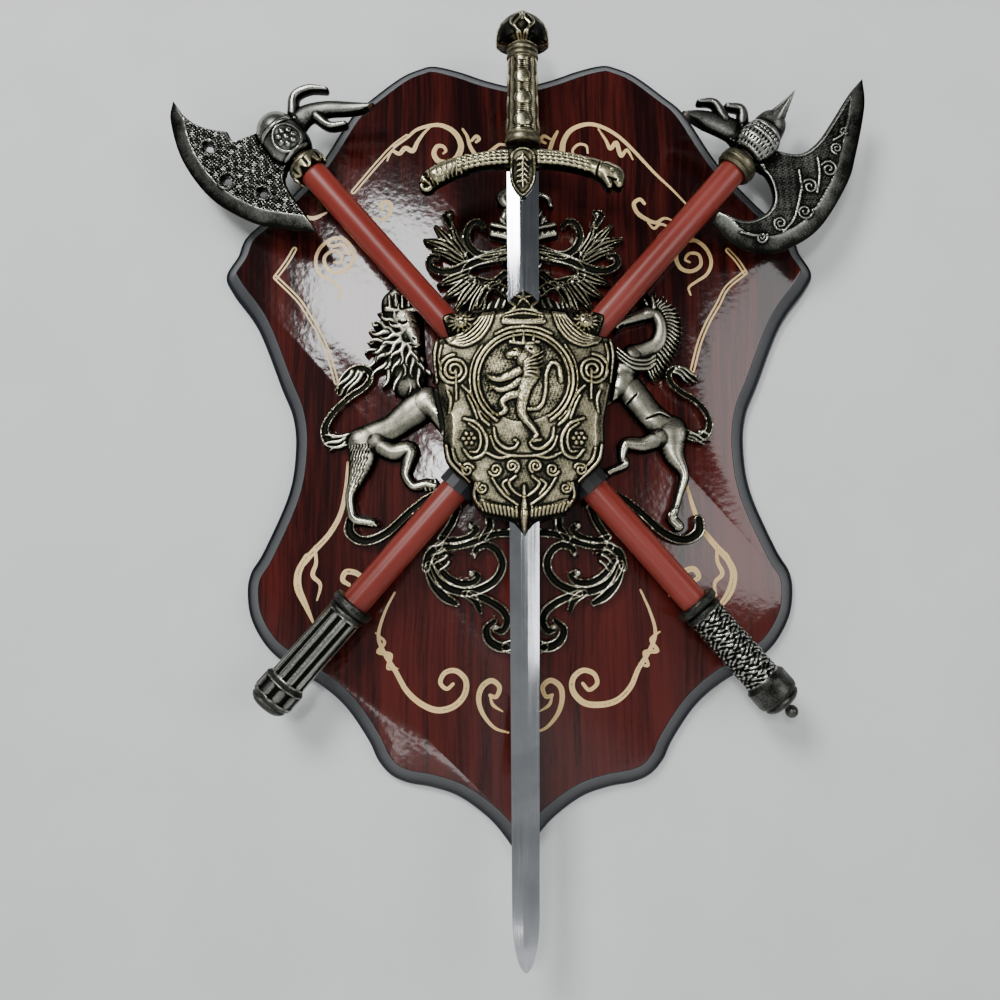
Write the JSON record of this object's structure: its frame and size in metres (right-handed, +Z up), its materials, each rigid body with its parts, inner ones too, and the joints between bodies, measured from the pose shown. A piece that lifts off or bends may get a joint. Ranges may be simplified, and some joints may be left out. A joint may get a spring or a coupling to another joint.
{
  "type": "decorative wall plaque with sword and axes",
  "caption": "Shield-shaped wooden wall plaque with a cast coat of arms, a domed cartouche, an upright sword and two crossed battle axes.",
  "frame": {"origin": "on the flat back of the board, straight behind the point where the two shafts cross", "axes": "+Z up, +X to the right seen from the front, +Y out of the back towards the wall, so the face looks along -Y"},
  "size_m": [0.4486, 0.0609, 0.5864],
  "materials": {
    "lacquered_wood": "gloss lacquer over dark red vertical grain, black bevelled rim, pale gold printed scrolls",
    "antique_pewter": "antique pewter casting, dark in its recesses",
    "antique_brass": "antique brass casting, dark in its recesses",
    "gunmetal": "dark polished gunmetal casting",
    "painted_shaft": "satin brownish red paint",
    "polished_steel": "polished",
    "black_clip": "matte black"
  },
  "bodies": {
    "root": {"board": "lacquered_wood", "arms_casting": "antique_pewter", "cartouche": "antique_brass", "shaft_clip_left": "black_clip", "shaft_clip_right": "black_clip", "axe_left_shaft": "painted_shaft", "axe_left_head": "gunmetal", "axe_left_collar": "antique_brass", "axe_left_butt": "gunmetal", "axe_right_shaft": "painted_shaft", "axe_right_head": "gunmetal", "axe_right_collar": "antique_brass", "axe_right_butt": "gunmetal", "sword_blade": "polished_steel", "sword_guard": "antique_brass", "sword_grip": "antique_brass", "sword_pommel": "antique_brass"}
  },
  "joints": []
}
